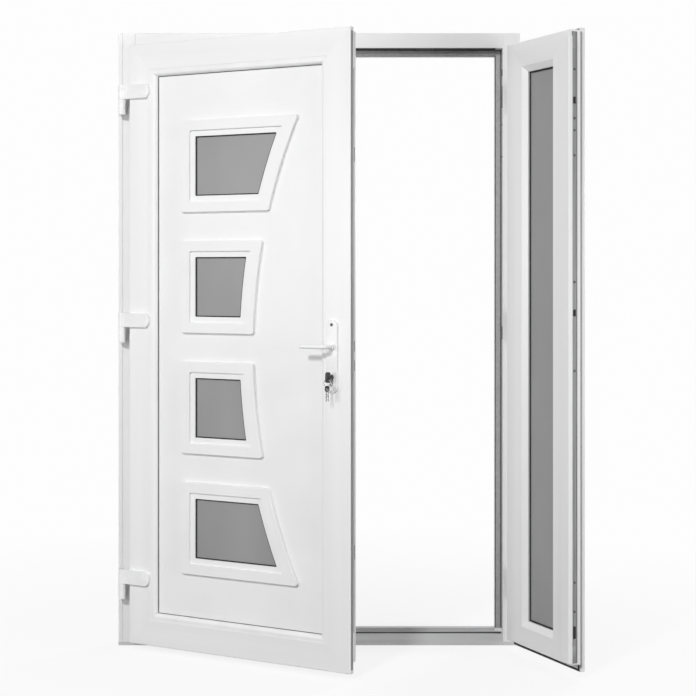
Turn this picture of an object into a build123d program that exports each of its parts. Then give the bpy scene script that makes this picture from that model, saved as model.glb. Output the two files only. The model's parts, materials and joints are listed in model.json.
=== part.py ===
# Double front door with unequal leaves: a wide panelled leaf with four curved windows,
# a narrow glazed leaf with a flying mullion, and one plastic frame on a metal threshold.
# Millimetres. X runs along the wall, Y points outdoors, Z is up, and the origin is the
# centre of the threshold's underside. The wide leaf stands 30 degrees open and the
# narrow leaf 114 degrees open.
import os
from math import atan2, cos, degrees, radians, sin, sqrt

from build123d import *

os.makedirs("parts", exist_ok=True)

# Frame
frame_width = 1400.0
frame_height = 2135.0
frame_depth = 70.0
jamb_face = 60.0
head_face = 52.0
stop_height = 24.0
stop_depth = 25.0
frame_edge_radius = 2.0
groove_from_edge = 15.0
groove_width = 2.0
groove_depth = 2.0

# Threshold
base_thickness = 13.0
floor_height = 40.0
upstand_height = 52.0
base_edge_radius = 1.5

# Leaves, measured from the outer edge of the flange that laps over the frame
flange_side_inset = 45.0
flange_head_overlap = 3.0
flange_bottom = 18.0
flange_thickness = 19.0
face_gap = 6.0
leaf_thickness = 64.0
hinge_side_step = 26.0
free_side_step = 16.0
top_step = 9.0
bottom_step = 28.0
sash_face = 88.0
daylight_offset = 112.0
side_stile_extra = 34.0
glazing_leg = 22.0
slope_width = 20.0
slope_depth = 14.0
sash_edge_radius = 3.0
glazing_clearance = 5.0
infill_thickness = 24.0
main_leaf_width = 883.0
meeting_gap = 6.0
main_swing = 30.0
side_swing = 114.0

# Glazing beads
bead_setback = 1.5
bead_round_radius = 13.0
bead_mitre_gap = 0.4

# Windows of the wide leaf, from the hinge axis and the middle of the leaf's height
window_left = 298.5
window_waist = 480.0
window_arc_radius = 1820.0
window_height = 202.0
window_pitch = 409.0
window_drop = 5.0
window_count = 4
surround_width = 55.0
surround_step = 20.0
surround_base = 6.0
surround_rise = 7.0
surround_corner = 9.0
surround_step_corner = 8.0
surround_edge_radius = 2.0
pane_cover = 10.0
pane_clearance = 0.5
pane_corner = 3.0

# Hinges
hinge_from_edge = 16.0
hinge_proud = 5.0
hinge_from_bottom = 204.0
hinge_from_top = 186.0
hinge_middle_rise = 50.0
knuckle_radius = 12.0
knuckle_length = 50.0
barrel_length = 52.0
barrel_gap = 0.5
pin_radius = 4.0
pin_clearance = 0.08
pin_cover = 5.0
pin_root = 10.0
flag_reach = 117.0
flag_nose = 12.0
flag_thickness = 12.0
flag_margin = 1.0
flag_edge_radius = 9.0
hinge_block_margin = 4.0

# Lock and handle, from the free edge of the wide leaf and the floor
handle_from_edge = 65.0
lever_height = 1063.0
lock_centres = 98.0
plate_width = 40.0
plate_length = 234.0
plate_above_lever = 85.0
plate_thickness = 9.0
plate_edge_radius = 2.5
lever_radius = 7.0
lever_bend = 13.0
lever_standoff = 42.0
lever_length = 96.0
lever_end_radius = 5.0
collar_radius = 11.0
collar_length = 9.0
running_gap = 0.4
spindle_radius = 4.5
spindle_clearance = 0.08
cylinder_radius = 8.5
cylinder_web = 10.0
cylinder_drop = 24.0
cylinder_proud = 3.0
fit_clearance = 0.3

# Keys
bow_width = 25.0
bow_height = 34.0
bow_thickness = 6.0
bow_corner = 9.0
bow_hole_radius = 4.0
bow_hole_inset = 8.0
bow_hole_drop = 4.0
shank_length = 7.0
shank_height = 8.0
ring_radius = 12.0
ring_wire = 0.9
hang_gap = 0.3
spare_bow_radius = 10.0
spare_bow_thickness = 2.2
spare_hole_radius = 3.0
spare_hole_inset = 6.0
spare_blade_length = 30.0
spare_blade_width = 7.0
spare_blade_root = 4.0
spare_splay = 5.0
spare_spacing = 4.4

# Edge hardware of the meeting stiles
faceplate_width = 20.0
faceplate_thickness = 2.5
faceplate_from_bottom = 122.0
faceplate_from_top = 126.0
bolt_proud = 4.5
bolt_width = 12.0
latch_height = 34.0
bolt_drop = 62.0
hook_height = 46.0
hook_from_bottom = 260.0
hook_from_top = 280.0

# Flying mullion on the free edge of the narrow leaf
side_free_step = 12.0
lock_gap = 10.0
lip_overlap = 14.0
lip_depth = 14.0
lip_edge_radius = 4.0
lip_end_gap = 6.0
rail_width = 18.0
rail_thickness = 2.0
rail_end_margin = 60.0

# Places that follow from the sizes above
half_width = frame_width / 2
half_depth = frame_depth / 2
stop_face_y = half_depth - stop_depth
rebate_x = half_width - jamb_face
pivot_x = half_width - hinge_from_edge
flange_top = frame_height - head_face + flange_head_overlap
window_middle = (flange_bottom + flange_top) / 2 - window_drop
lowest_hinge = flange_bottom + hinge_from_bottom
highest_hinge = flange_top - hinge_from_top
middle_hinge = (lowest_hinge + highest_hinge) / 2 + hinge_middle_rise
hinge_heights = (lowest_hinge, middle_hinge, highest_hinge)
faceplate_bottom = flange_bottom + faceplate_from_bottom
faceplate_top = flange_top - faceplate_from_top
hook_low = faceplate_bottom + hook_from_bottom
hook_high = faceplate_top - hook_from_top
face_y = -half_depth - face_gap - flange_thickness
pivot_y = face_y - hinge_proud
flange_start = pivot_x - (half_width - flange_side_inset)
face_depth = hinge_proud
step_depth = face_depth + flange_thickness
back_depth = face_depth + leaf_thickness
leg_depth = back_depth - glazing_leg
infill_depth = leg_depth - infill_thickness
main_end = flange_start + main_leaf_width
meeting_x = -pivot_x + main_end
side_end = pivot_x - meeting_x - meeting_gap


class Leaf:
    # One leaf's own frame: u runs from the hinge axis along the leaf, depth runs outdoors
    def __init__(self, side, swing, end, free_step, stile_extra):
        turn = radians(swing)
        self.side = side
        self.start = flange_start
        self.end = end
        self.free_step = free_step
        self.stile_extra = stile_extra
        self.along = (-side * cos(turn), -sin(turn), 0)
        self.outward = (-side * sin(turn), cos(turn), 0)
        self.origin = (side * pivot_x, pivot_y, 0)
        x_direction = tuple(side * part for part in self.along)
        self.face = Plane(origin=self.origin, x_dir=x_direction, z_dir=self.outward)
        self.axis = Axis(self.origin, self.outward)

    def depth(self, distance):
        return self.face.offset(distance)

    def at(self, u, z):
        return (self.side * u, z)

    def point(self, u, depth, z):
        return tuple(
            self.origin[i] + u * self.along[i] + depth * self.outward[i] + (z if i == 2 else 0)
            for i in range(3)
        )

    def ring(self, low, high, bottom, top):
        # Centre and size of the rectangle between two places along the leaf and two heights
        middle_u = (self.start + low + self.end - high) / 2
        middle_z = (flange_bottom + bottom + flange_top - top) / 2
        centre = self.at(middle_u, middle_z)
        width = self.end - self.start - low - high
        height = flange_top - flange_bottom - bottom - top
        return centre, width, height

    def flange(self):
        return self.ring(0, 0, 0, 0)

    def inset(self, distance):
        # The hinge stile may be wider than the other three lengths
        return self.ring(distance + self.stile_extra, distance, distance, distance)

    def body(self):
        return self.ring(hinge_side_step, self.free_step, bottom_step, top_step)


main_leaf = Leaf(-1, main_swing, main_end, free_side_step, 0)
side_leaf = Leaf(1, side_swing, side_end, side_free_step, side_stile_extra)


def save(part, name):
    part.label = name
    export_step(part, f"parts/{name}.step")


# Frame: two jambs on the threshold base, and the head between them
def frame_jamb(side):
    with BuildPart() as jamb:
        with BuildSketch(Plane.XY.offset(base_thickness)):
            with BuildLine():
                Polyline(
                    (side * half_width, -half_depth),
                    (side * half_width, half_depth),
                    (side * (rebate_x - stop_height), half_depth),
                    (side * (rebate_x - stop_height), stop_face_y),
                    (side * rebate_x, stop_face_y),
                    (side * rebate_x, -half_depth),
                    close=True,
                )
            make_face()
        extrude(amount=frame_height - base_thickness)
        fillet(jamb.faces().sort_by(Axis.Y)[0].edges().filter_by(Axis.Z), frame_edge_radius)
        with BuildSketch(Plane.XY.offset(base_thickness)):
            with Locations((side * (half_width - groove_from_edge), -half_depth)):
                Rectangle(groove_width, 2 * groove_depth)
        extrude(amount=frame_height - base_thickness, mode=Mode.SUBTRACT)
    return jamb.part


save(frame_jamb(-1), "left_jamb")
save(frame_jamb(1), "right_jamb")

with BuildPart() as head:
    with BuildSketch(Plane.YZ.offset(-rebate_x)):
        with Locations(((stop_face_y - half_depth) / 2, frame_height - head_face / 2)):
            Rectangle(stop_face_y + half_depth, head_face)
    extrude(amount=2 * rebate_x)
    fillet(head.faces().sort_by(Axis.Y)[0].edges().filter_by(Axis.X), frame_edge_radius)
    with BuildSketch(Plane.YZ.offset(stop_height - rebate_x)):
        with Locations((half_depth - stop_depth / 2, frame_height - (head_face + stop_height) / 2)):
            Rectangle(stop_depth, head_face + stop_height)
    extrude(amount=2 * (rebate_x - stop_height))
save(head.part, "head")

with BuildPart() as threshold_base:
    with BuildSketch(Plane.XY):
        Rectangle(frame_width, frame_depth)
    extrude(amount=base_thickness)
    fillet(threshold_base.faces().sort_by(Axis.Y)[0].edges().filter_by(Axis.X), base_edge_radius)
save(threshold_base.part, "threshold_base")

with BuildPart() as threshold_bar:
    with BuildSketch(Plane.XY.offset(base_thickness)):
        with Locations((0, (stop_face_y - half_depth) / 2)):
            Rectangle(2 * rebate_x, stop_face_y + half_depth)
    extrude(amount=floor_height - base_thickness)
    front_edges = threshold_bar.faces().sort_by(Axis.Y)[0].edges().filter_by(Axis.X)
    fillet(front_edges.sort_by(Axis.Z)[-1], base_edge_radius)
    with BuildSketch(Plane.XY.offset(base_thickness)):
        with Locations((0, half_depth - stop_depth / 2)):
            Rectangle(2 * (rebate_x - stop_height), stop_depth)
    extrude(amount=upstand_height - base_thickness)
save(threshold_bar.part, "threshold_bar")


# Hinges: a barrel with its pin on the frame, and a flag that turns on the leaf
def frame_hinge(side, height):
    bottom = height - barrel_length
    top = height - barrel_gap
    with BuildPart() as hinge:
        with BuildSketch(Plane.XY.offset(bottom)):
            with Locations((side * pivot_x, pivot_y)):
                Circle(knuckle_radius)
        extrude(amount=top - bottom)
        with BuildSketch(Plane.XY.offset(bottom + hinge_block_margin)):
            with Locations((side * pivot_x, (pivot_y - half_depth) / 2)):
                Rectangle(2 * knuckle_radius, -half_depth - pivot_y)
        extrude(amount=top - bottom - 2 * hinge_block_margin)
        with BuildSketch(Plane.XY.offset(height - pin_root)):
            with Locations((side * pivot_x, pivot_y)):
                Circle(pin_radius)
        extrude(amount=pin_root + knuckle_length - 2 * pin_cover)
    return hinge.part


def leaf_flag(leaf, height):
    # A plate rounded off in plan at its far end, and a knuckle that turns on the pin
    low = height + flag_margin
    high = height + knuckle_length - flag_margin
    front = face_depth - flag_thickness
    straight_end = flag_reach - flag_nose
    with BuildPart() as flag:
        with BuildSketch(Plane.XY.offset(low)) as plan:
            with BuildLine():
                Polyline(
                    leaf.point(0, face_depth, 0)[:2],
                    leaf.point(flag_reach, face_depth, 0)[:2],
                    leaf.point(flag_reach, front, 0)[:2],
                    leaf.point(0, front, 0)[:2],
                    close=True,
                )
            make_face()
            tip = plan.vertices().sort_by_distance(leaf.point(flag_reach, front, 0))[0]
            fillet(tip, flag_edge_radius)
        extrude(amount=high - low)
        with BuildSketch(leaf.depth(face_depth)):
            with BuildLine():
                Line(leaf.at(0, low), leaf.at(straight_end, low))
                ThreePointArc(
                    leaf.at(straight_end, low),
                    leaf.at(flag_reach, (low + high) / 2),
                    leaf.at(straight_end, high),
                )
                Line(leaf.at(straight_end, high), leaf.at(0, high))
                Line(leaf.at(0, high), leaf.at(0, low))
            make_face()
        extrude(amount=-flag_thickness, mode=Mode.INTERSECT)
        with BuildSketch(Plane.XY.offset(height)):
            with Locations((leaf.origin[0], leaf.origin[1])):
                Circle(knuckle_radius)
        extrude(amount=knuckle_length)
        with BuildSketch(Plane.XY.offset(height)):
            with Locations((leaf.origin[0], leaf.origin[1])):
                Circle(pin_radius + pin_clearance)
        extrude(amount=knuckle_length - pin_cover, mode=Mode.SUBTRACT)
    return flag.part


for number, height in enumerate(hinge_heights, 1):
    save(frame_hinge(-1, height), f"left_hinge_barrel_{number}")
    save(frame_hinge(1, height), f"right_hinge_barrel_{number}")
    save(leaf_flag(main_leaf, height), f"main_hinge_flag_{number}")
    save(leaf_flag(side_leaf, height), f"side_hinge_flag_{number}")


# Sashes: one stepped profile mitred round each leaf, flange indoors, glazing leg outdoors
def sash_ring(leaf):
    flange = leaf.flange()
    opening = leaf.inset(sash_face)
    body = leaf.body()
    daylight = leaf.inset(daylight_offset)
    slope = leaf.inset(daylight_offset - slope_width)
    with BuildPart() as ring:
        with BuildSketch(leaf.depth(face_depth)):
            with Locations(flange[0]):
                Rectangle(flange[1], flange[2])
        extrude(amount=flange_thickness)
        fillet(ring.faces().sort_by(leaf.axis)[0].edges(), sash_edge_radius)
        with BuildSketch(leaf.depth(step_depth)):
            with Locations(body[0]):
                Rectangle(body[1], body[2])
        extrude(amount=back_depth - step_depth)
        fillet(ring.faces().sort_by(leaf.axis)[-1].edges(), sash_edge_radius)
        with BuildSketch(leaf.depth(face_depth)):
            with Locations(opening[0]):
                Rectangle(opening[1], opening[2])
        extrude(amount=leg_depth - face_depth, mode=Mode.SUBTRACT)
        with BuildSketch(leaf.depth(leg_depth)):
            with Locations(daylight[0]):
                Rectangle(daylight[1], daylight[2])
        extrude(amount=glazing_leg, mode=Mode.SUBTRACT)
        with BuildSketch(leaf.depth(back_depth)):
            with Locations(slope[0]):
                Rectangle(slope[1], slope[2])
        slope_angle = degrees(atan2(slope_width, slope_depth))
        extrude(amount=-slope_depth, taper=slope_angle, mode=Mode.SUBTRACT)
    return ring.part


def mitre_outlines(leaf):
    # The four shapes that part a ring into two stiles and two rails, each mitred at 45 degrees
    near = leaf.start + leaf.stile_extra + daylight_offset
    far = leaf.end - daylight_offset
    low = flange_bottom + daylight_offset
    high = flange_top - daylight_offset
    corners = ((near, low), (far, low), (far, high), (near, high))
    directions = ((-1, -1), (1, -1), (1, 1), (-1, 1))
    widths = {
        "bottom_rail": daylight_offset,
        "lock_stile": daylight_offset,
        "top_rail": daylight_offset,
        "hinge_stile": daylight_offset + leaf.stile_extra,
    }
    outlines = {}
    for i, (name, width) in enumerate(widths.items()):
        ends = (i, (i + 1) % 4)
        inner = [corners[k] for k in ends]
        outer = [tuple(c + width * d for c, d in zip(corners[k], directions[k])) for k in reversed(ends)]
        outlines[name] = (*inner, *outer)
    return outlines


def sash_member(leaf, ring, outline):
    with BuildPart() as member:
        add(ring)
        with BuildSketch(leaf.depth(face_depth)):
            with BuildLine():
                Polyline([leaf.at(u, z) for u, z in outline], close=True)
            make_face()
        extrude(amount=leaf_thickness, mode=Mode.INTERSECT)
    return member.part


def glazing_beads(leaf):
    outer = leaf.inset(sash_face)
    inner = leaf.inset(daylight_offset)
    front = face_depth + bead_setback
    mitre_middle = (sash_face + daylight_offset) / 2
    corner_u = (leaf.start + leaf.stile_extra + mitre_middle, leaf.end - mitre_middle)
    corner_z = (flange_bottom + mitre_middle, flange_top - mitre_middle)
    # Twice the bead's width is longer than its mitre
    slit_length = 2 * (daylight_offset - sash_face)
    with BuildPart() as beads:
        with BuildSketch(leaf.depth(front)):
            with Locations(outer[0]):
                Rectangle(outer[1], outer[2])
            with Locations(inner[0]):
                Rectangle(inner[1], inner[2], mode=Mode.SUBTRACT)
        extrude(amount=infill_depth - front)
        front_face = beads.faces().sort_by(leaf.axis)[0]
        fillet(front_face.inner_wires()[0].edges(), bead_round_radius)
        for u in corner_u:
            for z in corner_z:
                diagonal = 45 if (u == corner_u[0]) == (z == corner_z[0]) else -45
                with BuildSketch(leaf.depth(front)):
                    with Locations(leaf.at(u, z)):
                        Rectangle(slit_length, bead_mitre_gap, rotation=leaf.side * diagonal)
                extrude(amount=infill_depth - front, mode=Mode.SUBTRACT)
    return beads.part


main_ring = sash_ring(main_leaf)
main_members = {
    name: sash_member(main_leaf, main_ring, outline) for name, outline in mitre_outlines(main_leaf).items()
}
side_ring = sash_ring(side_leaf)
side_members = {
    name: sash_member(side_leaf, side_ring, outline) for name, outline in mitre_outlines(side_leaf).items()
}
save(glazing_beads(main_leaf), "main_glazing_beads")
save(glazing_beads(side_leaf), "side_glazing_beads")

side_glass = side_leaf.inset(sash_face + glazing_clearance)
with BuildPart() as side_pane:
    with BuildSketch(side_leaf.depth(infill_depth)):
        with Locations(side_glass[0]):
            Rectangle(side_glass[1], side_glass[2])
    extrude(amount=infill_thickness)
save(side_pane.part, "side_pane")


# Windows: four openings whose free sides lie on one large arc with its waist at mid height
def window_wire(index, margin, corner):
    middle = window_middle + window_pitch * ((window_count - 1) / 2 - index)
    low = middle - window_height / 2 - margin
    high = middle + window_height / 2 + margin
    radius = window_arc_radius - margin
    arc_centre = window_waist + window_arc_radius

    def arc_place(z):
        return arc_centre - sqrt(radius**2 - (z - window_middle) ** 2)

    left = window_left - margin
    with BuildSketch(mode=Mode.PRIVATE) as window:
        with BuildLine():
            Line(main_leaf.at(left, high), main_leaf.at(left, low))
            Line(main_leaf.at(left, low), main_leaf.at(arc_place(low), low))
            ThreePointArc(
                main_leaf.at(arc_place(low), low),
                main_leaf.at(arc_place(middle), middle),
                main_leaf.at(arc_place(high), high),
            )
            Line(main_leaf.at(arc_place(high), high), main_leaf.at(left, high))
        make_face()
        fillet(window.vertices(), corner)
    return window.sketch


panel_size = main_leaf.inset(sash_face + glazing_clearance)
with BuildPart() as door_panel:
    with BuildSketch(main_leaf.depth(infill_depth)):
        with Locations(panel_size[0]):
            Rectangle(panel_size[1], panel_size[2])
        for index in range(window_count):
            add(window_wire(index, pane_cover, pane_corner), mode=Mode.SUBTRACT)
    extrude(amount=infill_thickness)
save(door_panel.part, "door_panel")


def surround_ring(index, depth, toward):
    # A stepped moulding: a base round the glass and a raised rounded band outside the step
    raised = surround_base + surround_rise
    with BuildPart() as moulding:
        with BuildSketch(main_leaf.depth(depth)):
            add(window_wire(index, surround_width, surround_corner))
        extrude(amount=toward * raised)
        top = moulding.faces().sort_by(main_leaf.axis)[-1 if toward > 0 else 0]
        fillet(top.edges(), surround_edge_radius)
        with BuildSketch(main_leaf.depth(depth + toward * surround_base)):
            add(window_wire(index, surround_step, surround_step_corner))
        extrude(amount=toward * surround_rise, mode=Mode.SUBTRACT)
        with BuildSketch(main_leaf.depth(depth)):
            add(window_wire(index, 0, pane_corner))
        extrude(amount=toward * raised, mode=Mode.SUBTRACT)
    return moulding.part


for index in range(window_count):
    inside = surround_ring(index, infill_depth, -1)
    outside = surround_ring(index, leg_depth, 1)
    save(Compound(children=[inside, outside]), f"window_surround_{index + 1}")
    with BuildPart() as pane:
        with BuildSketch(main_leaf.depth(infill_depth)):
            add(window_wire(index, pane_cover - pane_clearance, pane_corner))
        extrude(amount=infill_thickness)
    save(pane.part, f"window_pane_{index + 1}")


# Lock and handle: two long plates, a lever on each with one spindle, and a profile cylinder
handle_u = main_end - handle_from_edge
plate_middle = lever_height + plate_above_lever - plate_length / 2
cylinder_height = lever_height - lock_centres
plate_front = face_depth - plate_thickness
plate_back = back_depth + plate_thickness


def cylinder_outline(margin):
    with BuildSketch(mode=Mode.PRIVATE) as outline:
        with Locations(main_leaf.at(handle_u, cylinder_height)):
            Circle(cylinder_radius + margin)
        with Locations(main_leaf.at(handle_u, cylinder_height - cylinder_drop / 2)):
            Rectangle(cylinder_web + 2 * margin, cylinder_drop)
        with Locations(main_leaf.at(handle_u, cylinder_height - cylinder_drop)):
            Circle(cylinder_web / 2 + margin)
    return outline.sketch


def lock_holes(start):
    # Ways through for the spindle and the cylinder
    with BuildSketch(main_leaf.depth(start)) as holes:
        with Locations(main_leaf.at(handle_u, lever_height)):
            Circle(spindle_radius + spindle_clearance)
        add(cylinder_outline(fit_clearance))
    return holes.sketch


def handle_plate(depth, toward):
    with BuildPart() as plate:
        with BuildSketch(main_leaf.depth(depth)):
            with Locations(main_leaf.at(handle_u, plate_middle)):
                SlotOverall(plate_length, plate_width, rotation=90)
        extrude(amount=toward * plate_thickness)
        top = plate.faces().sort_by(main_leaf.axis)[-1 if toward > 0 else 0]
        fillet(top.edges(), plate_edge_radius)
        extrude(lock_holes(depth), amount=toward * plate_thickness, mode=Mode.SUBTRACT)
    return plate.part


save(handle_plate(face_depth, -1), "handle_plate_inside")
save(handle_plate(back_depth, 1), "handle_plate_outside")

with BuildPart() as lock_cylinder:
    with BuildSketch(main_leaf.depth(plate_front - cylinder_proud)):
        add(cylinder_outline(0))
    extrude(amount=plate_back - plate_front + 2 * cylinder_proud)
save(lock_cylinder.part, "lock_cylinder")


def lever(plate_depth, toward):
    # A collar on the plate, a neck that stands off, and a bar back towards the hinges
    start = plate_depth + toward * running_gap
    far = plate_depth + toward * lever_standoff
    corner = main_leaf.point(handle_u, far, lever_height)
    neck_start = main_leaf.point(handle_u, start, lever_height)
    tip = main_leaf.point(handle_u - lever_length, far, lever_height)
    with BuildPart() as handle:
        with BuildSketch(main_leaf.depth(start)):
            with Locations(main_leaf.at(handle_u, lever_height)):
                Circle(collar_radius)
        extrude(amount=toward * collar_length)
        with BuildLine() as route:
            FilletPolyline(neck_start, corner, tip, radius=lever_bend)
        with BuildSketch(main_leaf.depth(start)):
            with Locations(main_leaf.at(handle_u, lever_height)):
                Circle(lever_radius)
        sweep(path=route.wire())
        along = Axis(main_leaf.origin, main_leaf.along)
        fillet(handle.faces().sort_by(along)[0].edges(), lever_end_radius)
    return handle.part


with BuildPart() as lever_inside:
    add(lever(plate_front, -1))
    with BuildSketch(main_leaf.depth(plate_front - running_gap)):
        with Locations(main_leaf.at(handle_u, lever_height)):
            Circle(spindle_radius)
    extrude(amount=plate_back - plate_front + 2 * running_gap)
save(lever_inside.part, "lever_inside")
save(lever(plate_back, 1), "lever_outside")


# Keys: one in the lock, a ring through its bow, and two spares that hang from the ring
def key_plane(u):
    # Upright plane square to the leaf, with its own x running indoors
    indoors = tuple(-part for part in main_leaf.outward)
    normal = tuple(-part for part in main_leaf.along)
    return Plane(origin=main_leaf.point(u, 0, 0), x_dir=indoors, z_dir=normal)


key_start = cylinder_proud - plate_front
bow_centre = key_start + shank_length + bow_width / 2
hole_place = (
    key_start + shank_length + bow_width - bow_hole_inset,
    cylinder_height - bow_hole_drop,
)
with BuildPart() as key:
    with BuildSketch(key_plane(handle_u)):
        with Locations((bow_centre, cylinder_height)):
            RectangleRounded(bow_width, bow_height, bow_corner)
        with Locations((key_start + shank_length / 2 + bow_corner / 2, cylinder_height)):
            Rectangle(shank_length + bow_corner, shank_height)
        with Locations(hole_place):
            Circle(bow_hole_radius, mode=Mode.SUBTRACT)
    extrude(amount=bow_thickness / 2, both=True)
save(key.part, "key")

# The ring curves down on both sides of the bow, so it hangs that much higher in the hole
ring_sag = ring_radius - sqrt(ring_radius**2 - (bow_thickness / 2) ** 2)
ring_centre = hole_place[1] - ring_radius - bow_hole_radius + ring_wire + hang_gap + ring_sag
with BuildPart() as key_ring:
    profile_place = main_leaf.point(handle_u, -hole_place[0], ring_centre + ring_radius)
    with BuildSketch(Plane(origin=profile_place, x_dir=main_leaf.outward, z_dir=main_leaf.along)):
        Circle(ring_wire)
    revolve(axis=Axis(main_leaf.point(handle_u, -hole_place[0], ring_centre), main_leaf.outward))
save(key_ring.part, "key_ring")


def spare_key(place, splay):
    # A round bow with a toothless blade, hung by its hole from the lowest part of the ring
    offset = sqrt(ring_radius**2 - place**2)
    seat = ring_centre - offset + ring_wire + hang_gap - spare_hole_radius
    base = key_plane(handle_u + place)
    hung = Plane(origin=base.from_local_coords((hole_place[0], seat, 0)), x_dir=base.x_dir, z_dir=base.z_dir)
    hung = hung.rotated((splay, 0, 0))
    with BuildPart() as spare:
        with BuildSketch(hung):
            with Locations((0, spare_hole_inset - spare_bow_radius)):
                Circle(spare_bow_radius)
            blade_top = spare_hole_inset - 2 * spare_bow_radius + spare_blade_root
            blade_length = spare_blade_length + spare_blade_root
            with Locations((0, blade_top - blade_length / 2)):
                Rectangle(spare_blade_width, blade_length)
            Circle(spare_hole_radius, mode=Mode.SUBTRACT)
        extrude(amount=spare_bow_thickness / 2, both=True)
    return spare.part


spares = [spare_key(-spare_spacing / 2, spare_splay), spare_key(spare_spacing / 2, -spare_splay)]
save(Compound(children=spares), "spare_keys")


# Edge hardware: the multipoint lock's faceplate let into the free edge of the wide leaf
def edge_strip(leaf, u, width, bottom, top, middle):
    # A rectangle on a free edge, facing off the edge
    edge = Plane(origin=leaf.point(u, middle, 0), x_dir=(0, 0, 1), z_dir=leaf.along)
    with BuildSketch(edge) as strip:
        with Locations(((bottom + top) / 2, 0)):
            Rectangle(top - bottom, width)
    return strip.sketch


main_edge = main_end - free_side_step
plate_seat = main_edge - faceplate_thickness
edge_middle = (step_depth + back_depth) / 2
bolt_places = (
    (lever_height, latch_height),
    (lever_height - bolt_drop, latch_height),
    (hook_low, hook_height),
    (hook_high, hook_height),
)
with BuildPart() as lock_faceplate:
    strip = edge_strip(main_leaf, plate_seat, faceplate_width, faceplate_bottom, faceplate_top, edge_middle)
    extrude(strip, amount=faceplate_thickness)
    for place, length in bolt_places:
        bolt_bottom = place - length / 2
        bolt = edge_strip(main_leaf, main_edge, bolt_width, bolt_bottom, bolt_bottom + length, edge_middle)
        extrude(bolt, amount=bolt_proud)
save(lock_faceplate.part, "lock_faceplate")

with BuildPart() as lock_stile:
    add(main_members["lock_stile"])
    seat_width = faceplate_width + 2 * fit_clearance
    seat_bottom = faceplate_bottom - fit_clearance
    seat_top = faceplate_top + fit_clearance
    seat = edge_strip(main_leaf, plate_seat, seat_width, seat_bottom, seat_top, edge_middle)
    extrude(seat, amount=faceplate_thickness, mode=Mode.SUBTRACT)
    extrude(lock_holes(face_depth), amount=leaf_thickness, mode=Mode.SUBTRACT)
main_members["lock_stile"] = lock_stile.part

# Flying mullion: a web on the narrow leaf's free edge, with a lip that laps the wide leaf
side_edge = side_end - side_free_step
main_edge_x = main_edge - pivot_x
web_u = pivot_x - main_edge_x - lock_gap
lip_u = pivot_x - main_edge_x + lip_overlap
web_start = -half_depth - pivot_y
lip_start = stop_face_y - pivot_y
mullion_bottom = flange_bottom + bottom_step
mullion_top = flange_top - top_step
lip_bottom = upstand_height + lip_end_gap
lip_top = frame_height - head_face - stop_height - lip_end_gap
rail_middle = (web_start + lip_start) / 2
rail_bottom = mullion_bottom + rail_end_margin
rail_top = mullion_top - rail_end_margin
with BuildPart() as flying_mullion:
    with BuildSketch(Plane.XY.offset(mullion_bottom)):
        with BuildLine():
            Polyline(
                side_leaf.point(side_edge, web_start, 0)[:2],
                side_leaf.point(web_u, web_start, 0)[:2],
                side_leaf.point(web_u, back_depth, 0)[:2],
                side_leaf.point(side_edge, back_depth, 0)[:2],
                close=True,
            )
        make_face()
    extrude(amount=mullion_top - mullion_bottom)
    # The lip stands further out than the web, so it ends between the frame's stops
    with BuildSketch(Plane.XY.offset(lip_bottom)):
        with BuildLine():
            Polyline(
                side_leaf.point(side_edge, back_depth, 0)[:2],
                side_leaf.point(web_u, back_depth, 0)[:2],
                side_leaf.point(web_u, lip_start, 0)[:2],
                side_leaf.point(lip_u, lip_start, 0)[:2],
                side_leaf.point(lip_u, lip_start + lip_depth, 0)[:2],
                side_leaf.point(side_edge, lip_start + lip_depth, 0)[:2],
                close=True,
            )
        make_face()
    extrude(amount=lip_top - lip_bottom)
    outer_face = flying_mullion.faces().sort_by(side_leaf.axis)[-1]
    fillet(outer_face.edges().filter_by(Axis.Z), lip_edge_radius)
    groove_width_on_web = rail_width + 2 * fit_clearance
    groove = edge_strip(
        side_leaf,
        web_u - rail_thickness,
        groove_width_on_web,
        rail_bottom - fit_clearance,
        rail_top + fit_clearance,
        rail_middle,
    )
    extrude(groove, amount=rail_thickness, mode=Mode.SUBTRACT)
save(flying_mullion.part, "flying_mullion")

with BuildPart() as strike_rail:
    rail = edge_strip(side_leaf, web_u - rail_thickness, rail_width, rail_bottom, rail_top, rail_middle)
    extrude(rail, amount=rail_thickness)
save(strike_rail.part, "strike_rail")

for name, member in main_members.items():
    save(member, f"main_{name}")
for name, member in side_members.items():
    save(member, f"side_{name}")
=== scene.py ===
import json
from math import cos, pi, radians, sin, sqrt

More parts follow.
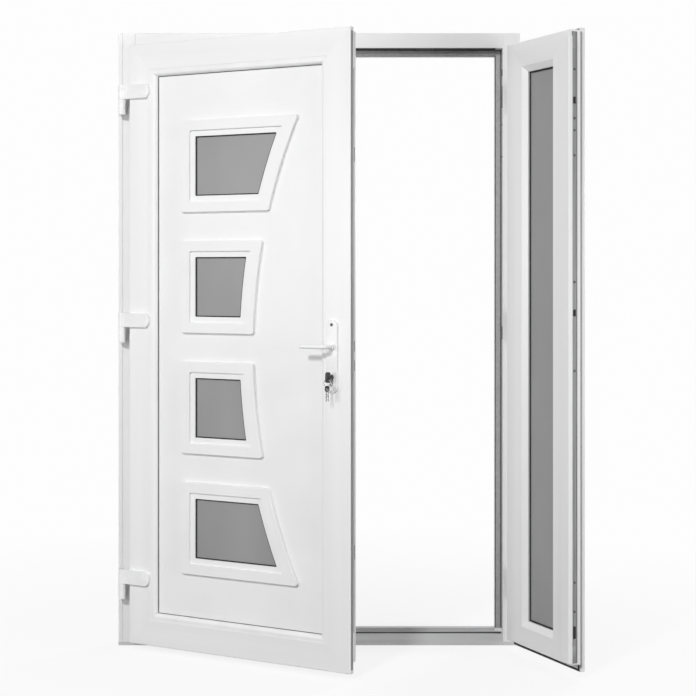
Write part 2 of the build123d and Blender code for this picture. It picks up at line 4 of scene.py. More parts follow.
import bpy
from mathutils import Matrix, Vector


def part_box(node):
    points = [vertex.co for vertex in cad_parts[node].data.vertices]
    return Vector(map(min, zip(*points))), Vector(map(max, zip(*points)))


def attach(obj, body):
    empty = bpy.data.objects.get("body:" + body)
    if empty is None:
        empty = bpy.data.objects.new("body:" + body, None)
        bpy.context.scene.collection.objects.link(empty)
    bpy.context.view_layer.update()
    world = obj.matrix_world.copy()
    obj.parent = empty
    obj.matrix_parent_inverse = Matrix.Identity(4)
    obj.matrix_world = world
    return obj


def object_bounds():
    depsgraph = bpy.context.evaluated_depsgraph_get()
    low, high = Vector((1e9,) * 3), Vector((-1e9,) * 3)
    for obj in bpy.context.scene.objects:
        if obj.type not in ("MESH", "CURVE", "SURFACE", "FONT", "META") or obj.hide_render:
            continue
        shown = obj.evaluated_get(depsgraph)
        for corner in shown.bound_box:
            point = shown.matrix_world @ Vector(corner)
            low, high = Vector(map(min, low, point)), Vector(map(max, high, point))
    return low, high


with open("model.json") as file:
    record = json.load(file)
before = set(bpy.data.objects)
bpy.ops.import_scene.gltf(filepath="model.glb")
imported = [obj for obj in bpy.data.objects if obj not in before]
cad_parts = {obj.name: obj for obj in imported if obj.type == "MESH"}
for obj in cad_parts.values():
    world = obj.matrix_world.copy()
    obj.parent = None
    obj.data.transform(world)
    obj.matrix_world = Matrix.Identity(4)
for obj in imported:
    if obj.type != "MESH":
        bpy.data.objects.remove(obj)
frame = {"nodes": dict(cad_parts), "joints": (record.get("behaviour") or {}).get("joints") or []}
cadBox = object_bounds()
nodes = frame["nodes"]
print("door loaded with", len(nodes), "nodes")


# The two leaves, each with its own directions taken from its hinge
def readLeaf(jointName, side):
    joint = [entry for entry in frame["joints"] if entry["name"] == jointName][0]
    swing = radians(-joint["range_deg"][0])   # the shut leaf is the joint's low limit
    return {
        "pivot": Vector(joint["pos_m"]),
        "along": Vector((-side * cos(swing), -sin(swing), 0)),
        "outward": Vector((-side * sin(swing), cos(swing), 0)),
        "turn": side * swing,
        "body": joint["child"],
    }


mainLeaf = readLeaf("main_leaf_hinge", -1)
sideLeaf = readLeaf("side_leaf_hinge", 1)


def leafPoint(leaf, u, depth, z):
    place = leaf["pivot"] + u * leaf["along"] + depth * leaf["outward"]
    return Vector((place.x, place.y, z))


def leafBox(leaf, node):
    # lowest and highest place along the leaf, through it and upwards
    places = [vertex.co - leaf["pivot"] for vertex in nodes[node].data.vertices]
    spread = [
        [place.dot(leaf["along"]) for place in places],
        [place.dot(leaf["outward"]) for place in places],
        [place.z for place in places],
    ]
    return [min(values) for values in spread], [max(values) for values in spread]


# Modelling helpers
roundingSteps = 2     # faces across a rounded edge
smoothAngle = 35      # degrees between faces that still shade as one


def pickOnly(piece):
    bpy.ops.object.select_all(action="DESELECT")
    piece.select_set(True)
    bpy.context.view_layer.objects.active = piece


def addBlock(name, place, size, turn, rounding):
    bpy.ops.object.select_all(action="DESELECT")
    bpy.ops.mesh.primitive_cube_add(size=1, location=place, rotation=(0, 0, turn))
    piece = bpy.context.object
    piece.name = name
    piece.scale = size
    bpy.ops.object.transform_apply(location=False, rotation=False, scale=True)
    bpy.ops.object.mode_set(mode="EDIT")
    bpy.ops.mesh.select_all(action="SELECT")
    bpy.ops.mesh.bevel(offset=rounding, segments=roundingSteps, affect="EDGES")
    bpy.ops.object.mode_set(mode="OBJECT")
    return piece


def joinPieces(name, pieces):
    pickOnly(pieces[0])
    for piece in pieces[1:]:
        piece.select_set(True)
    if len(pieces) > 1:
        bpy.ops.object.join()
    pieces[0].name = name
    return pieces[0]


def settle(piece, body, material):
    pickOnly(piece)
    bpy.ops.object.transform_apply(location=True, rotation=True, scale=True)
    bpy.ops.object.shade_smooth_by_angle(angle=radians(smoothAngle))
    piece.data.materials.clear()
    piece.data.materials.append(material)
    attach(piece, body)


def addRing(name, leaf, low, high, width, depth, rise, rounding):
    # a flat strip round a rectangle on a leaf: low and high are (along, height)
    size = (high[0] - low[0], high[1] - low[1])
    place = leafPoint(leaf, (low[0] + high[0]) / 2, depth, (low[1] + high[1]) / 2)
    bpy.ops.object.select_all(action="DESELECT")
    bpy.ops.mesh.primitive_plane_add(size=1, location=place, rotation=(pi / 2, 0, leaf["turn"]))
    piece = bpy.context.object
    piece.name = name
    piece.scale = (size[0], size[1], 1)
    bpy.ops.object.transform_apply(location=False, rotation=False, scale=True)
    bpy.ops.object.mode_set(mode="EDIT")
    bpy.ops.mesh.select_all(action="SELECT")
    bpy.ops.mesh.inset(thickness=width)
    bpy.ops.mesh.delete(type="ONLY_FACE")
    bpy.ops.mesh.select_all(action="SELECT")
    push = rise * leaf["outward"]
    bpy.ops.mesh.extrude_region_move(TRANSFORM_OT_translate={"value": push})
    bpy.ops.mesh.select_all(action="SELECT")
    bpy.ops.mesh.normals_make_consistent(inside=False)
    bpy.ops.mesh.bevel(offset=rounding, segments=roundingSteps, affect="EDGES")
    bpy.ops.object.mode_set(mode="OBJECT")
    return piece


# rounding and socket are shares of the head's height, rim is a share of its radius
screwHead = {"sides": 20, "rounding": 0.35, "rim": 0.42, "socket": 0.6}


def addScrew(place, direction, radius, height):
    # a low round head with a socket sunk into it
    bpy.ops.object.select_all(action="DESELECT")
    tilt = direction.to_track_quat("Z", "Y").to_euler()
    bpy.ops.mesh.primitive_cylinder_add(
        vertices=screwHead["sides"], radius=radius, depth=height, location=place, rotation=tilt,
    )
    screw = bpy.context.object
    top = max(screw.data.polygons, key=lambda face: face.center.z).index
    bpy.ops.object.mode_set(mode="EDIT")
    bpy.ops.mesh.select_all(action="DESELECT")
    bpy.ops.object.mode_set(mode="OBJECT")
    screw.data.polygons[top].select = True
    bpy.ops.object.mode_set(mode="EDIT")
    bpy.ops.mesh.select_mode(type="FACE")
    bpy.ops.mesh.bevel(offset=height * screwHead["rounding"], segments=roundingSteps, affect="EDGES")
    bpy.ops.mesh.inset(thickness=radius * screwHead["rim"])
    sink = -height * screwHead["socket"] * direction
    bpy.ops.mesh.extrude_region_move(TRANSFORM_OT_translate={"value": sink})
    bpy.ops.object.mode_set(mode="OBJECT")
    return screw


# Materials
grainBand = (0.3, 0.7)                    # the part of the noise's range that a finish spreads over
noiseDetail = {"patches": 3, "grain": 2}


def startMaterial(name):
    material = bpy.data.materials.new(name)
    material.use_nodes = True
    tree = material.node_tree
    return material, tree, tree.nodes["Principled BSDF"]


def addGrain(tree, scale, detail, stretch):
    place = tree.nodes.new("ShaderNodeTexCoord")
    mapping = tree.nodes.new("ShaderNodeMapping")
    mapping.inputs["Scale"].default_value = stretch
    grain = tree.nodes.new("ShaderNodeTexNoise")
    grain.inputs["Scale"].default_value = scale
    grain.inputs["Detail"].default_value = detail
    tree.links.new(place.outputs["Object"], mapping.inputs["Vector"])
    tree.links.new(mapping.outputs["Vector"], grain.inputs["Vector"])
    return grain.outputs["Fac"]


def tintBy(tree, shader, source, dark, light):
    ramp = tree.nodes.new("ShaderNodeValToRGB")
    ramp.color_ramp.elements[0].position = grainBand[0]
    ramp.color_ramp.elements[0].color = (*dark, 1)
    ramp.color_ramp.elements[1].position = grainBand[1]
    ramp.color_ramp.elements[1].color = (*light, 1)
    tree.links.new(source, ramp.inputs["Fac"])
    tree.links.new(ramp.outputs["Color"], shader.inputs["Base Color"])


def roughenBy(tree, shader, source, low, high):
    spread = tree.nodes.new("ShaderNodeMapRange")
    spread.inputs["From Min"].default_value = grainBand[0]
    spread.inputs["From Max"].default_value = grainBand[1]
    spread.inputs["To Min"].default_value = low
    spread.inputs["To Max"].default_value = high
    tree.links.new(source, spread.inputs["Value"])
    tree.links.new(spread.outputs["Result"], shader.inputs["Roughness"])


def bumpBy(tree, shader, source, strength, distance):
    bump = tree.nodes.new("ShaderNodeBump")
    bump.inputs["Strength"].default_value = strength
    bump.inputs["Distance"].default_value = distance
    tree.links.new(source, bump.inputs["Height"])
    tree.links.new(bump.outputs["Normal"], shader.inputs["Normal"])


def capAbove(tree, shader, height, color, metal):
    # dark plastic over metal, above a height
    place = tree.nodes.new("ShaderNodeTexCoord")
    parts = tree.nodes.new("ShaderNodeSeparateXYZ")
    tree.links.new(place.outputs["Object"], parts.inputs["Vector"])
    above = tree.nodes.new("ShaderNodeMath")
    above.operation = "GREATER_THAN"
    above.inputs[1].default_value = height
    tree.links.new(parts.outputs["Z"], above.inputs[0])
    tint = tree.nodes.new("ShaderNodeMixRGB")
    tint.inputs["Color2"].default_value = color
    tree.links.new(above.outputs["Value"], tint.inputs["Fac"])
    tree.links.new(shader.inputs["Base Color"].links[0].from_socket, tint.inputs["Color1"])
    tree.links.new(tint.outputs["Color"], shader.inputs["Base Color"])
    below = tree.nodes.new("ShaderNodeMapRange")
    below.inputs["To Min"].default_value = metal
    below.inputs["To Max"].default_value = 0
    tree.links.new(above.outputs["Value"], below.inputs["Value"])
    tree.links.new(below.outputs["Result"], shader.inputs["Metallic"])


def makeFinish(name, look):
    material, tree, shader = startMaterial(name)
    shader.inputs["Metallic"].default_value = look.get("metal", 0.0)
    shader.inputs["Specular IOR Level"].default_value = look.get("gloss", 0.5)
    patches = addGrain(tree, look["patchScale"], noiseDetail["patches"], look["stretch"])
    tintBy(tree, shader, patches, look["dark"], look["light"])
    roughenBy(tree, shader, patches, *look["rough"])
    grain = addGrain(tree, look["grainScale"], noiseDetail["grain"], look["grainStretch"])
    bumpBy(tree, shader, grain, look["bump"], look["bumpDepth"])
    if "capHeight" in look:
        capAbove(tree, shader, look["capHeight"], look["capColor"], look["metal"])
    return material


even = (1, 1, 1)
upright = (1, 1, 0.03)     # streaks that run up a stile, as the profile was drawn
level = (0.05, 0.05, 1)    # streaks that run along a rail
whiteLook = {
    "dark": (0.80, 0.80, 0.80), "light": (0.85, 0.85, 0.85), "rough": (0.30, 0.40), "patchScale": 14,
    "stretch": upright, "grainScale": 900, "grainStretch": even, "bump": 0.06, "bumpDepth": 0.0004,
}
looks = {
    "uprightProfile": whiteLook,
    "levelProfile": {**whiteLook, "stretch": level},
    "panelSkin": {**whiteLook, "dark": (0.81, 0.81, 0.81), "stretch": even, "patchScale": 5,
                  "rough": (0.34, 0.44)},
    "hingeEnamel": {**whiteLook, "light": (0.88, 0.88, 0.89), "rough": (0.2, 0.3), "stretch": even,
                    "grainScale": 400},
    "handleEnamel": {**whiteLook, "light": (0.88, 0.88, 0.89), "rough": (0.16, 0.26), "stretch": even,
                     "grainScale": 320},
    "satinGlass": {
        "dark": (0.25, 0.25, 0.25), "light": (0.31, 0.31, 0.31), "rough": (0.3, 0.45), "patchScale": 3,
        "stretch": (1, 1, 0.4), "grainScale": 600, "grainStretch": even, "bump": 0.12, "bumpDepth": 0.0006,
    },
    "sillMetal": {
        "dark": (0.50, 0.50, 0.505), "light": (0.61, 0.61, 0.615), "rough": (0.35, 0.5), "metal": 0.35,
        "patchScale": 60, "stretch": (0.02, 1, 1), "grainScale": 500, "grainStretch": (0.02, 1, 1),
        "bump": 0.1, "bumpDepth": 0.0004,
    },
    "brushedSteel": {
        "dark": (0.14, 0.14, 0.145), "light": (0.30, 0.30, 0.305), "rough": (0.4, 0.55), "metal": 0.35,
        "patchScale": 120, "stretch": upright, "grainScale": 700, "grainStretch": upright, "bump": 0.12,
        "bumpDepth": 0.0003,
    },
    "nickelPlate": {
        "dark": (0.20, 0.20, 0.20), "light": (0.32, 0.32, 0.32), "rough": (0.2, 0.34), "metal": 0.9,
        "patchScale": 200, "stretch": even, "grainScale": 900, "grainStretch": even, "bump": 0.08,
        "bumpDepth": 0.0002,
    },
    "keyPlastic": {
        "dark": (0.012, 0.012, 0.013), "light": (0.03, 0.03, 0.032), "rough": (0.4, 0.55), "patchScale": 160,
        "stretch": even, "grainScale": 1500, "grainStretch": even, "bump": 0.3, "bumpDepth": 0.0003,
    },
    # black rubber of the real seals; the same black is also painted shade, on the strike rail's pockets,
    # under the head and under the leaves
    "blackSealAndPaintedShade": {
        "dark": (0.012, 0.012, 0.012), "light": (0.035, 0.035, 0.035), "rough": (0.6, 0.8), "gloss": 0.3,
        "patchScale": 80, "stretch": even, "grainScale": 1200, "grainStretch": even, "bump": 0.3,
        "bumpDepth": 0.0004,
    },
    "darkSteel": {
        "dark": (0.05, 0.05, 0.052), "light": (0.12, 0.12, 0.125), "rough": (0.35, 0.5), "metal": 0.6,
        "patchScale": 300, "stretch": even, "grainScale": 900, "grainStretch": even, "bump": 0.1,
        "bumpDepth": 0.0002,
    },
}
looks["greySeal"] = {
    **looks["blackSealAndPaintedShade"], "dark": (0.40, 0.40, 0.40), "light": (0.48, 0.48, 0.48), "rough": (0.55, 0.75),
}
# dark grey rubber of the stop, lap and edge seals; the same colour is also painted shade, at the stops' free
# edges and round the main panel
looks["darkSealAndPaintedShade"] = {**looks["blackSealAndPaintedShade"], "dark": (0.08, 0.08, 0.08), "light": (0.13, 0.13, 0.13)}
looks["spareKey"] = {**looks["nickelPlate"], "capHeight": 0.930, "capColor": (0.015, 0.015, 0.016, 1)}
finishes = {name: makeFinish(name, look) for name, look in looks.items()}
print("finishes made:", len(finishes))


def finishOf(node):
    if node.startswith("threshold"):
        return "sillMetal"
    if "hinge_barrel" in node or "hinge_flag" in node:
        return "hingeEnamel"
    if node.startswith("handle_plate") or node.startswith("lever"):
        return "handleEnamel"
    if "pane" in node and "panel" not in node:
        return "satinGlass"
    if node in ("lock_cylinder", "key_ring"):
        return "nickelPlate"
    if node == "spare_keys":
        return "spareKey"
    if node == "key":
        return "keyPlastic"
    if node in ("lock_faceplate", "strike_rail"):
        return "brushedSteel"
    if node == "door_panel" or node.startswith("window_surround"):
        return "panelSkin"
    if node == "head" or node.endswith("_rail"):
        return "levelProfile"
    return "uprightProfile"


for node, shape in nodes.items():
    shape.data.materials.clear()
    shape.data.materials.append(finishes[finishOf(node)])


# Seals of the panel and the narrow pane, where they meet beads and glazing legs
paneSeals = {"panelWidth": 0.0018, "glassWidth": 0.0055, "rise": 0.003, "rounding": 0.0006}


def addPaneSeals(leaf, infill, beads, label, width, finish):
    beadLow, beadHigh = leafBox(leaf, beads)
    infillLow, infillHigh = leafBox(leaf, infill)
    edge = leafBox(leaf, f"{label}_hinge_stile")[1][0]   # the stile ends at the daylight opening
    inset = edge - beadLow[0]
    low = (beadLow[0] + inset, beadLow[2] + inset)
    high = (beadHigh[0] - inset, beadHigh[2] - inset)
    pieces = [
        addRing("seal", leaf, low, high, width, infillLow[1], -paneSeals["rise"], paneSeals["rounding"]),
        addRing("seal", leaf, low, high, width, infillHigh[1], paneSeals["rise"], paneSeals["rounding"]),
    ]
    seal = joinPieces(f"{label}_pane_seals", pieces)
    settle(seal, leaf["body"], finishes[finish])


# the main panel's seal is darker than a real gasket there: partly painted shade for the crevice at the beads'
# foot
addPaneSeals(mainLeaf, "door_panel", "main_glazing_beads", "main", paneSeals["panelWidth"], "darkSealAndPaintedShade")
addPaneSeals(sideLeaf, "side_pane", "side_glazing_beads", "side", paneSeals["glassWidth"], "blackSealAndPaintedShade")
print("pane seals set")


# Seals round the four windows: three straight sides, and a free side on the windows' common arc
windowSeal = {"cover": 0.0095, "width": 0.004, "rise": 0.003, "waist": 0.480, "arcRadius": 1.82, "cuts": 14}
windowMiddle = (leafBox(mainLeaf, "window_pane_1")[1][2] + leafBox(mainLeaf, "window_pane_4")[0][2]) / 2


def addWindowSeal(number, depthIndex, direction):
    low, high = leafBox(mainLeaf, f"window_pane_{number}")
    bottom = low[2] + windowSeal["cover"]
    top = high[2] - windowSeal["cover"]
    left = low[0] + windowSeal["cover"]
    depth = (low, high)[depthIndex][1]
    bpy.ops.object.select_all(action="DESELECT")
    middle = leafPoint(mainLeaf, left, depth, (bottom + top) / 2)
    bpy.ops.mesh.primitive_plane_add(size=1, location=middle, rotation=(pi / 2, 0, mainLeaf["turn"]))
    seal = bpy.context.object
    seal.scale = (1, top - bottom, 1)
    bpy.ops.object.transform_apply(location=False, rotation=False, scale=True)
    bpy.ops.object.mode_set(mode="EDIT")
    bpy.ops.mesh.select_mode(type="EDGE")
    bpy.ops.mesh.select_all(action="DESELECT")
    bpy.ops.object.mode_set(mode="OBJECT")
    for edge in seal.data.edges:
        edge.select = all(seal.data.vertices[end].co.x > 0 for end in edge.vertices)
    bpy.ops.object.mode_set(mode="EDIT")
    bpy.ops.mesh.subdivide(number_cuts=windowSeal["cuts"], ngon=True)
    bpy.ops.object.mode_set(mode="OBJECT")
    arcCentre = windowSeal["waist"] + windowSeal["arcRadius"]
    for vertex in seal.data.vertices:
        fromMiddle = (bottom + top) / 2 + vertex.co.y - windowMiddle
        free = arcCentre - sqrt(windowSeal["arcRadius"] ** 2 - fromMiddle ** 2) - left
        vertex.co.x = free if vertex.co.x > 0 else 0
    bpy.ops.object.mode_set(mode="EDIT")
    bpy.ops.mesh.select_mode(type="FACE")
    bpy.ops.mesh.select_all(action="SELECT")
    bpy.ops.mesh.inset(thickness=windowSeal["width"])
    bpy.ops.mesh.delete(type="ONLY_FACE")
    bpy.ops.mesh.select_all(action="SELECT")
    push = direction * windowSeal["rise"] * mainLeaf["outward"]
    bpy.ops.mesh.extrude_region_move(TRANSFORM_OT_translate={"value": push})
    bpy.ops.mesh.select_all(action="SELECT")
    bpy.ops.mesh.normals_make_consistent(inside=False)
    bpy.ops.object.mode_set(mode="OBJECT")
    return seal


for number in (1, 2, 3, 4):
    rings = [addWindowSeal(number, 0, -1), addWindowSeal(number, 1, 1)]
    settle(joinPieces(f"window_seal_{number}", rings), "main_leaf", finishes["blackSealAndPaintedShade"])
print("window seals set")


# Seals on the frame's stops: a grey strip, a black seal along its rebate side, and at the stops' free edge a
# dark line that is painted shade for the strip's shaded edge
stopSeals = {"face": 0.010, "rounding": 0.0006}
stopRuns = {
    "stop_strip": {"fromEdge": 0.003, "width": 0.017, "rise": 0.0016, "finish": "greySeal"},
    # painted shade: a dark line standing in for the shadowed edge of the strip
    "stop_edge_painted_shade": {"fromEdge": 0.0003, "width": 0.0027, "rise": 0.003, "finish": "darkSealAndPaintedShade"},
    "stop_seal_outer": {"fromEdge": 0.020, "width": 0.003, "rise": 0.004, "finish": "darkSealAndPaintedShade"},
}
stopLow = (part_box("left_jamb")[1].x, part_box("threshold_bar")[1].z)
stopHigh = (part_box("right_jamb")[0].x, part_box("head")[0].z)


def addStopRun(name, run):
    # up both jambs and along the head, at one distance from the stops' edges
    middle = run["fromEdge"] + run["width"] / 2
    depth = stopSeals["face"] - run["rise"] / 2
    top = stopHigh[1] + run["fromEdge"] + run["width"]
    upSize = (run["width"], run["rise"], top - stopLow[1])
    alongSize = (stopHigh[0] - stopLow[0] + 2 * run["fromEdge"], run["rise"], run["width"])
    pieces = [
        addBlock("run", (x, depth, (top + stopLow[1]) / 2), upSize, 0, stopSeals["rounding"])
        for x in (stopLow[0] - middle, stopHigh[0] + middle)
    ]
    pieces.append(addBlock("run", (0, depth, stopHigh[1] + middle), alongSize, 0, stopSeals["rounding"]))
    settle(joinPieces(name, pieces), "frame", finishes[run["finish"]])


for name, run in stopRuns.items():
    addStopRun(name, run)


# Black sheet under the head: partly a rubber gasket, partly painted shade darkening the head's underside,
# with no match under the jambs
headUnderside = 2.083     # ceiling of the head's rebate
headGasketAndShade = {"from": -0.031, "to": 0.006, "rise": 0.0015, "rounding": 0.0005}
place = (0, (headGasketAndShade["from"] + headGasketAndShade["to"]) / 2, headUnderside - headGasketAndShade["rise"] / 2)
size = (stopHigh[0] - stopLow[0], headGasketAndShade["to"] - headGasketAndShade["from"], headGasketAndShade["rise"])
shadedGasket = addBlock("head_gasket_and_painted_shade", place, size, 0, headGasketAndShade["rounding"])
settle(shadedGasket, "frame", finishes["blackSealAndPaintedShade"])


# Seal behind each leaf's lapping edge
lapSeals = {"fromLeafEdge": 0.003, "width": 0.005, "rise": 0.004, "rounding": 0.0012, "depth": 0.024}


def addLapSeal(leaf, label):
    low = leafBox(leaf, f"{label}_hinge_stile")[0]
    high = leafBox(leaf, f"{label}_lock_stile")[1]
    inset = lapSeals["fromLeafEdge"]
    lowCorner = (low[0] + inset, low[2] + inset)
    highCorner = (high[0] - inset, high[2] - inset)
    ring = addRing(f"{label}_lap_seal", leaf, lowCorner, highCorner, lapSeals["width"], lapSeals["depth"],
                   lapSeals["rise"], lapSeals["rounding"])
    settle(ring, leaf["body"], finishes["blackSealAndPaintedShade"])


addLapSeal(mainLeaf, "main")
addLapSeal(sideLeaf, "side")


# Seal let into the free edge of each leaf
edgeSeals = {
    "main": (0.011, 0.0175), "side": (0.0195, 0.0225),   # front and back of the seal, through the leaf
    "rise": 0.0012, "fromEnds": 0.012, "rounding": 0.0005,
}


def addEdgeSeal(leaf, label):
    front, back = edgeSeals[label]
    low, high = leafBox(leaf, f"{label}_lock_stile")
    place = leafPoint(leaf, high[0], (front + back) / 2, (low[2] + high[2]) / 2)
    size = (2 * edgeSeals["rise"], back - front, high[2] - low[2] - 2 * edgeSeals["fromEnds"])
    seal = addBlock(f"{label}_edge_seal", place, size, leaf["turn"], edgeSeals["rounding"])
    settle(seal, leaf["body"], finishes["darkSealAndPaintedShade"])


addEdgeSeal(mainLeaf, "main")
addEdgeSeal(sideLeaf, "side")
print("frame and lap seals set")


# Black brush strip under each leaf: a real seal, and partly painted shade for the dark underside along the
# leaf's bottom
brush_and_shade = {
    "bodyBottom": 0.046, "drop": 0.004, "depth": 0.046, "thickness": 0.010, "rounding": 0.001,
    "fromHinge": 0.06, "fromFree": 0.03,
}
for leaf, label in ((mainLeaf, "main"), (sideLeaf, "side")):
    low, high = leafBox(leaf, f"{label}_bottom_rail")
    reach = (low[0] + brush_and_shade["fromHinge"], high[0] - brush_and_shade["fromFree"])
    place = leafPoint(leaf, sum(reach) / 2, brush_and_shade["depth"], brush_and_shade["bodyBottom"] - brush_and_shade["drop"] / 2)
    size = (reach[1] - reach[0], brush_and_shade["thickness"], brush_and_shade["drop"])
    strip = addBlock(f"{label}_brush", place, size, leaf["turn"], brush_and_shade["rounding"])
    settle(strip, leaf["body"], finishes["blackSealAndPaintedShade"])


# Ribs and a flat seal along the threshold's floor
ribs = {
    "count": 2, "first": -0.004, "pitch": 0.0055, "width": 0.0024, "rise": 0.0012, "rounding": 0.0004,
    "endGap": 0.004, "floor": 0.040,
}
barLow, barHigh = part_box("threshold_bar")
ribPieces = []
for number in range(ribs["count"]):
    place = (0, ribs["first"] + number * ribs["pitch"], ribs["floor"] + ribs["rise"] / 2)
    size = (barHigh.x - barLow.x - 2 * ribs["endGap"], ribs["width"], ribs["rise"])
    ribPieces.append(addBlock("rib", place, size, 0, ribs["rounding"]))
settle(joinPieces("threshold_ribs", ribPieces), "frame", finishes["sillMetal"])
floorSeal = {"middle": -0.018, "width": 0.018, "rise": 0.0015, "rounding": 0.0005}
place = (0, floorSeal["middle"], ribs["floor"] + floorSeal["rise"] / 2)
size = (barHigh.x - barLow.x - 2 * ribs["endGap"], floorSeal["width"], floorSeal["rise"])
seal = addBlock("threshold_seal", place, size, 0, floorSeal["rounding"])
settle(seal, "frame", finishes["blackSealAndPaintedShade"])
print("brushes, ribs and threshold seal set")


# Screw at the top of the inside handle plate, the only one that shows
plateScrew = {"fromEnd": 0.015, "radius": 0.0042, "height": 0.0016, "out": 0.0004}
low, high = leafBox(mainLeaf, "handle_plate_inside")
middle = (low[0] + high[0]) / 2
place = leafPoint(mainLeaf, middle, low[1] - plateScrew["out"], high[2] - plateScrew["fromEnd"])
screw = addScrew(place, -mainLeaf["outward"], plateScrew["radius"], plateScrew["height"])
settle(joinPieces("plate_screw", [screw]), "main_leaf", finishes["darkSteel"])


# Screws along the lock's faceplate
lockEdge = {
    "screws": (0.17, 0.30, 0.52, 0.75, 0.93, 1.15, 1.32, 1.50, 1.76, 1.93), "radius": 0.0034, "height": 0.001,
    "boltsProud": 0.0045,
}
low, high = leafBox(mainLeaf, "lock_faceplate")
plateFace = high[0] - lockEdge["boltsProud"]
middle = (low[1] + high[1]) / 2
screws = [
    addScrew(leafPoint(mainLeaf, plateFace, middle, z), mainLeaf["along"], lockEdge["radius"],
             lockEdge["height"])
    for z in lockEdge["screws"]
]
settle(joinPieces("faceplate_screws", screws), "main_leaf", finishes["darkSteel"])


# Screws along the strike rail, and over its pockets black blocks a little proud of the edge: painted shade
# standing in for the holes
strikeEdge = {
    "screws": (1.950, 1.793, 1.755, 1.675, 1.270, 0.986, 0.310, 0.217), "radius": 0.0034, "height": 0.001,
    "pocketShades": ((1.851, 0.022), (1.171, 0.022), (0.150, 0.040)),   # height of the middle, and length
    "pocketWidth": 0.010, "pocketRise": 0.0008, "pocketRounding": 0.0002,
}
low, high = leafBox(sideLeaf, "strike_rail")
middle = (low[1] + high[1]) / 2
screws = [
    addScrew(leafPoint(sideLeaf, high[0], middle, z), sideLeaf["along"], strikeEdge["radius"],
             strikeEdge["height"])
    for z in strikeEdge["screws"]
]
settle(joinPieces("strike_screws", screws), "side_leaf", finishes["darkSteel"])
# painted shade: black blocks for the pockets' dark holes
pocketShades = [
    addBlock("pocket_shade", leafPoint(sideLeaf, high[0], middle, z),
             (strikeEdge["pocketRise"], strikeEdge["pocketWidth"], length), sideLeaf["turn"],
             strikeEdge["pocketRounding"])
    for z, length in strikeEdge["pocketShades"]
]
settle(joinPieces("strike_pockets_painted_shade", pocketShades), "side_leaf", finishes["blackSealAndPaintedShade"])


# Dark seams where the strike rail lies in the mullion's web, and steel over and under the rail
railSeams = {
    "width": 0.0016, "rise": 0.0008, "fromEnds": 0.006, "rounding": 0.0002,
    "endRise": 0.0004, "endRounding": 0.0001,
}
webLow, webHigh = leafBox(sideLeaf, "flying_mullion")
seamLength = webHigh[2] - webLow[2] - 2 * railSeams["fromEnds"]
seams = [
    addBlock("seam", leafPoint(sideLeaf, high[0], depth, (webLow[2] + webHigh[2]) / 2),
             (railSeams["rise"], railSeams["width"], seamLength), sideLeaf["turn"], railSeams["rounding"])
    for depth in (low[1], high[1])
]
settle(joinPieces("strike_rail_seams", seams), "side_leaf", finishes["blackSealAndPaintedShade"])
railEnds = []
underRail = (webLow[2] + railSeams["fromEnds"], low[2])
overRail = (high[2], webHigh[2] - railSeams["fromEnds"])
for bottom, top in (underRail, overRail):
    place = leafPoint(sideLeaf, high[0], middle, (bottom + top) / 2)
    size = (railSeams["endRise"], high[1] - low[1], top - bottom)
    railEnds.append(addBlock("end", place, size, sideLeaf["turn"], railSeams["endRounding"]))
settle(joinPieces("strike_rail_ends", railEnds), "side_leaf", finishes["brushedSteel"])


# Keepers on the right jamb's rebate
keepers = {
    "plates": ((1.999, 0.022), (1.914, 0.077), (1.089, 0.045)),   # height of the middle, and length
    "screws": (1.817, 1.705), "screwRadius": 0.003, "rebate": 0.640, "thickness": 0.0015, "width": 0.014,
    "depth": -0.020, "rounding": 0.0005,
}
pieces = [
    addBlock("keeper", (keepers["rebate"] - keepers["thickness"] / 2, keepers["depth"], z),
             (keepers["thickness"], keepers["width"], length), 0, keepers["rounding"])
    for z, length in keepers["plates"]
]
pieces += [
    addScrew(Vector((keepers["rebate"], keepers["depth"], z)), Vector((-1, 0, 0)), keepers["screwRadius"],
             keepers["thickness"])
    for z in keepers["screws"]
]
settle(joinPieces("jamb_keepers", pieces), "frame", finishes["darkSteel"])


# Bolt plate under the head
boltPlate = {
    "x": 0.37, "depth": -0.012, "size": (0.060, 0.018, 0.0026), "rounding": 0.0005, "screwGap": 0.022,
    "screwRadius": 0.003, "screwHeight": 0.001,
}
thickness = boltPlate["size"][2]
place = (boltPlate["x"], boltPlate["depth"], headUnderside - thickness / 2)
plate = addBlock("bolt", place, boltPlate["size"], 0, boltPlate["rounding"])
screws = [
    addScrew(Vector((boltPlate["x"] + shift, boltPlate["depth"], headUnderside - thickness)),
             Vector((0, 0, -1)), boltPlate["screwRadius"], boltPlate["screwHeight"])
    for shift in (-boltPlate["screwGap"], boltPlate["screwGap"])
]
settle(joinPieces("head_bolt_plate", [plate] + screws), "frame", finishes["darkSteel"])
print("screws, keepers and plates set")


# Camera at the photograph's place, level, with the picture shifted down
view = {"place": (0.1005, -5.652, 1.302), "lens": 83.3, "sensor": 36, "shiftPixels": -76, "imagePixels": 696}
camera = bpy.data.objects.new("camera", bpy.data.cameras.new("camera"))
camera.data.lens = view["lens"]
camera.data.sensor_width = view["sensor"]
camera.data.shift_y = view["shiftPixels"] / view["imagePixels"]
camera.location = view["place"]
camera.rotation_euler = (pi / 2, 0, 0)
bpy.context.scene.collection.objects.link(camera)
bpy.context.scene.camera = camera


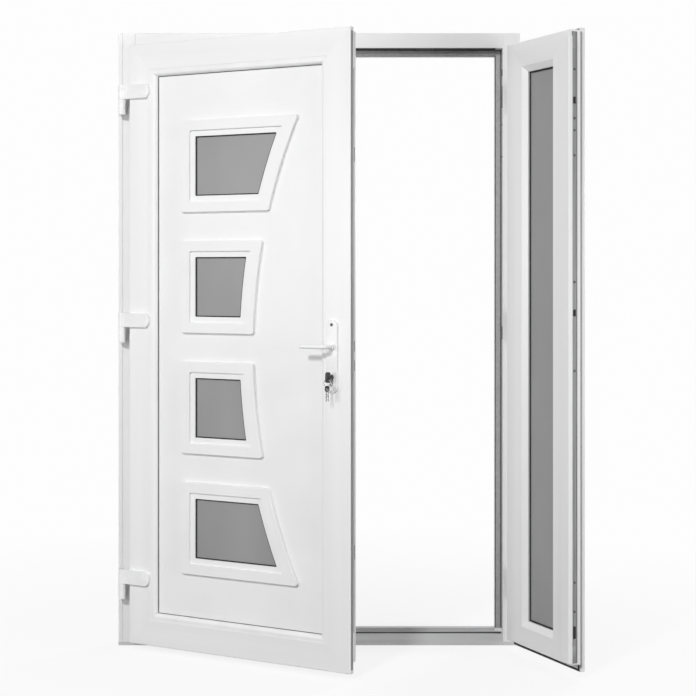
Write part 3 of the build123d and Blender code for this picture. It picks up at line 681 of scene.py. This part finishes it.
# Plain studio: a pale floor, a white surround and soft lamps, one of them for the outdoor side
studio = {
    "ambient": 0.26, "paleColor": (0.985, 0.985, 0.985, 1), "bounceColor": (0.3, 0.3, 0.3, 1),
    "floorSize": 30, "floorGap": 0.0005, "floorColor": (0.9, 0.9, 0.9, 1), "floorRough": 0.9,
    "shadowReach": 2.6, "shadowPale": 0.8,
    "lamps": {
        "key": {"place": (-2.6, -6.2, 4.6), "aim": (-0.2, -0.3, 1.1), "size": 0.8, "power": 270},
        "fill": {"place": (-3.4, -2.9, 1.5), "aim": (-0.3, -0.3, 1.0), "size": 0.8, "power": 42},
        "side": {"place": (4.4, -4.0, 1.0), "aim": (0.6, -0.4, 1.0), "size": 2.0, "power": 92},
        "back": {"place": (3.6, 4.8, 1.9), "aim": (0.2, 0.0, 1.1), "size": 1.4, "power": 210},
    },
}


def seenDirectly(tree):
    # 1 for the rays that should see plain white: camera, mirror and glass rays
    path = tree.nodes.new("ShaderNodeLightPath")
    first = tree.nodes.new("ShaderNodeMath")
    first.operation = "MAXIMUM"
    tree.links.new(path.outputs["Is Camera Ray"], first.inputs[0])
    tree.links.new(path.outputs["Is Glossy Ray"], first.inputs[1])
    both = tree.nodes.new("ShaderNodeMath")
    both.operation = "MAXIMUM"
    tree.links.new(first.outputs["Value"], both.inputs[0])
    tree.links.new(path.outputs["Is Transmission Ray"], both.inputs[1])
    return both.outputs["Value"]


def setWorld():
    world = bpy.data.worlds.new("studio")
    bpy.context.scene.world = world
    world.use_nodes = True
    tree = world.node_tree
    lit = tree.nodes["Background"]
    lit.inputs["Strength"].default_value = studio["ambient"]
    lit.inputs["Color"].default_value = (1, 1, 1, 1)
    seen = tree.nodes.new("ShaderNodeBackground")
    seen.inputs["Color"].default_value = studio["paleColor"]
    mix = tree.nodes.new("ShaderNodeMixShader")
    tree.links.new(seenDirectly(tree), mix.inputs["Fac"])
    tree.links.new(lit.outputs["Background"], mix.inputs[1])
    tree.links.new(seen.outputs["Background"], mix.inputs[2])
    tree.links.new(mix.outputs["Shader"], tree.nodes["World Output"].inputs["Surface"])


def setFloor():
    bpy.ops.object.select_all(action="DESELECT")
    floorPlace = (0, 0, cadBox[0][2] - studio["floorGap"])
    bpy.ops.mesh.primitive_plane_add(size=studio["floorSize"], location=floorPlace)
    floor = bpy.context.object
    floor.name = "floor"
    material, tree, shader = startMaterial("paleFloor")
    shader.inputs["Base Color"].default_value = studio["floorColor"]
    shader.inputs["Roughness"].default_value = studio["floorRough"]
    bounce = tree.nodes.new("ShaderNodeBsdfDiffuse")
    bounce.inputs["Color"].default_value = studio["bounceColor"]
    glow = tree.nodes.new("ShaderNodeEmission")
    glow.inputs["Color"].default_value = studio["paleColor"]
    # the shadow shows near the door, and fades into the plain surround
    place = tree.nodes.new("ShaderNodeTexCoord")
    away = tree.nodes.new("ShaderNodeVectorMath")
    away.operation = "LENGTH"
    fade = tree.nodes.new("ShaderNodeMapRange")
    fade.inputs["From Max"].default_value = studio["shadowReach"]
    fade.inputs["To Min"].default_value = studio["shadowPale"]
    tree.links.new(place.outputs["Object"], away.inputs[0])
    tree.links.new(away.outputs["Value"], fade.inputs["Value"])
    pale = tree.nodes.new("ShaderNodeMixShader")
    tree.links.new(fade.outputs["Result"], pale.inputs["Fac"])
    tree.links.new(shader.outputs["BSDF"], pale.inputs[1])
    tree.links.new(glow.outputs["Emission"], pale.inputs[2])
    mix = tree.nodes.new("ShaderNodeMixShader")
    tree.links.new(seenDirectly(tree), mix.inputs["Fac"])
    tree.links.new(bounce.outputs["BSDF"], mix.inputs[1])
    tree.links.new(pale.outputs["Shader"], mix.inputs[2])
    tree.links.new(mix.outputs["Shader"], tree.nodes["Material Output"].inputs["Surface"])
    floor.data.materials.append(material)


def setLamp(name, lamp):
    light = bpy.data.objects.new(name, bpy.data.lights.new(name, "AREA"))
    light.data.energy = lamp["power"]
    light.data.size = lamp["size"]
    light.location = lamp["place"]
    aim = Vector(lamp["aim"]) - Vector(lamp["place"])
    light.rotation_euler = aim.to_track_quat("-Z", "Y").to_euler()
    bpy.context.scene.collection.objects.link(light)


setWorld()
setFloor()
for name, lamp in studio["lamps"].items():
    setLamp(name, lamp)
bpy.context.scene.view_settings.view_transform = "Standard"
print("studio ready")
